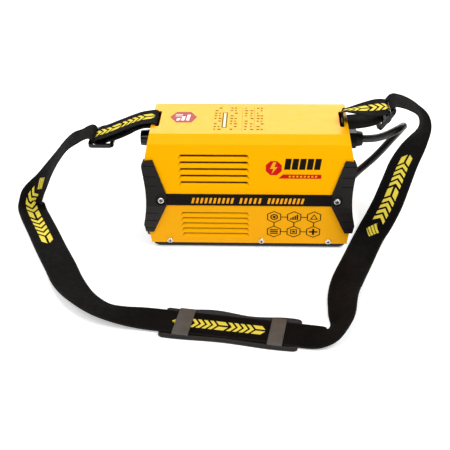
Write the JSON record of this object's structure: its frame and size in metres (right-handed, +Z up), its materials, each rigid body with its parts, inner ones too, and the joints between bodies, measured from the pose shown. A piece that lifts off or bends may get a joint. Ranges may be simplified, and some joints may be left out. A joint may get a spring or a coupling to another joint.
{
  "type": "inverter stick welder",
  "caption": "Compact inverter stick welder: folded sheet-metal cover with louvres, plastic end bezels with side ears, twin output sockets, fan, mains cable and webbing shoulder strap with pad.",
  "frame": {"origin": "on the floor under the middle of the casing", "axes": "+Z up, -X towards the front panel with the output sockets, -Y towards the side the strap lies on"},
  "size_m": [0.5612, 0.4027, 0.1931],
  "materials": {
    "yellow_paint": "satin powder coat",
    "black_paint": "fine texture powder coat",
    "black_plastic": "moulded, fine grain",
    "gloss_black": "polished",
    "band_film": "printed film",
    "zinc_steel": "bright zinc",
    "brass": "turned",
    "copper": "drawn",
    "aluminium": "extruded",
    "board_green": "solder mask",
    "ferrite": "sintered",
    "sleeve": "shrink sleeve",
    "epoxy": "moulded epoxy",
    "lens": "smoked",
    "lamp": "diffused lens",
    "rubber": "moulded",
    "webbing": "woven polypropylene",
    "pad_rubber": "moulded, matt"
  },
  "bodies": {
    "casing": {"top_cover": "yellow_paint", "base_pan": "black_paint", "front_bezel": "black_plastic", "rear_bezel": "black_plastic", "left_side_band": "band_film", "right_side_band": "band_film", "cover_screws": "zinc_steel", "bezel_screws": "zinc_steel", "control_fascia": "black_plastic", "display_window": "lens", "display_module": "epoxy", "potentiometer": "zinc_steel", "pot_nut": "zinc_steel", "indicator_leds": "lamp", "control_board": "board_green", "positive_socket_body": "gloss_black", "negative_socket_body": "gloss_black", "positive_socket_insert": "brass", "negative_socket_insert": "brass", "socket_locknuts": "black_plastic", "socket_stud_nuts": "brass", "main_board": "board_green", "board_standoffs": "brass", "board_screws": "zinc_steel", "inverter_heatsink": "aluminium", "rectifier_heatsink": "aluminium", "transistors": "epoxy", "output_diodes": "epoxy", "capacitor_board": "board_green", "capacitor_board_posts": "brass", "bus_capacitors": "sleeve", "mains_rectifier": "epoxy", "transformer_core": "ferrite", "transformer_winding": "copper", "choke_core": "ferrite", "choke_winding": "copper", "positive_busbar": "copper", "negative_busbar": "copper", "fan_frame": "black_plastic", "fan_screws": "zinc_steel", "power_switch_body": "gloss_black", "cable_gland_body": "black_plastic", "cable_gland_nut": "black_plastic", "gland_locknut": "black_plastic", "power_cable": "rubber", "plug_body": "rubber", "plug_pins": "brass", "left_strap_loop": "webbing", "right_strap_loop": "webbing", "left_slider": "gloss_black", "right_slider": "gloss_black"},
    "knob": {"current_knob": "gloss_black", "pot_shaft": "aluminium"},
    "rocker": {"power_switch_rocker": "gloss_black"},
    "fan": {"fan_rotor": "black_plastic"},
    "strap": {"strap_webbing": "webbing"},
    "pad": {"shoulder_pad": "pad_rubber"}
  },
  "joints": [
    {"name": "knob_turn", "type": "hinge", "parent": "casing", "child": "knob", "pos_m": [-0.13, 0, 0.139], "axis": [-1, 0, 0], "range_deg": [-135, 135]},
    {"name": "switch_rock", "type": "hinge", "parent": "casing", "child": "rocker", "pos_m": [0.1185, -0.024, 0.132], "axis": [0, 1, 0], "range_deg": [0, 18]},
    {"name": "fan_spin", "type": "hinge", "parent": "casing", "child": "fan", "pos_m": [0.1, 0, 0.053], "axis": [1, 0, 0], "continuous": true},
    {"name": "strap_swing", "type": "hinge", "parent": "casing", "child": "strap", "pos_m": [-0.206, 0, 0.1412], "axis": [-0.9915, 0, -0.1302], "range_deg": [0, 125]},
    {"name": "pad_slide", "type": "slide", "parent": "strap", "child": "pad", "axis": [0.989, -0.1478, 0], "range_m": [-0.015, 0.01]}
  ]
}
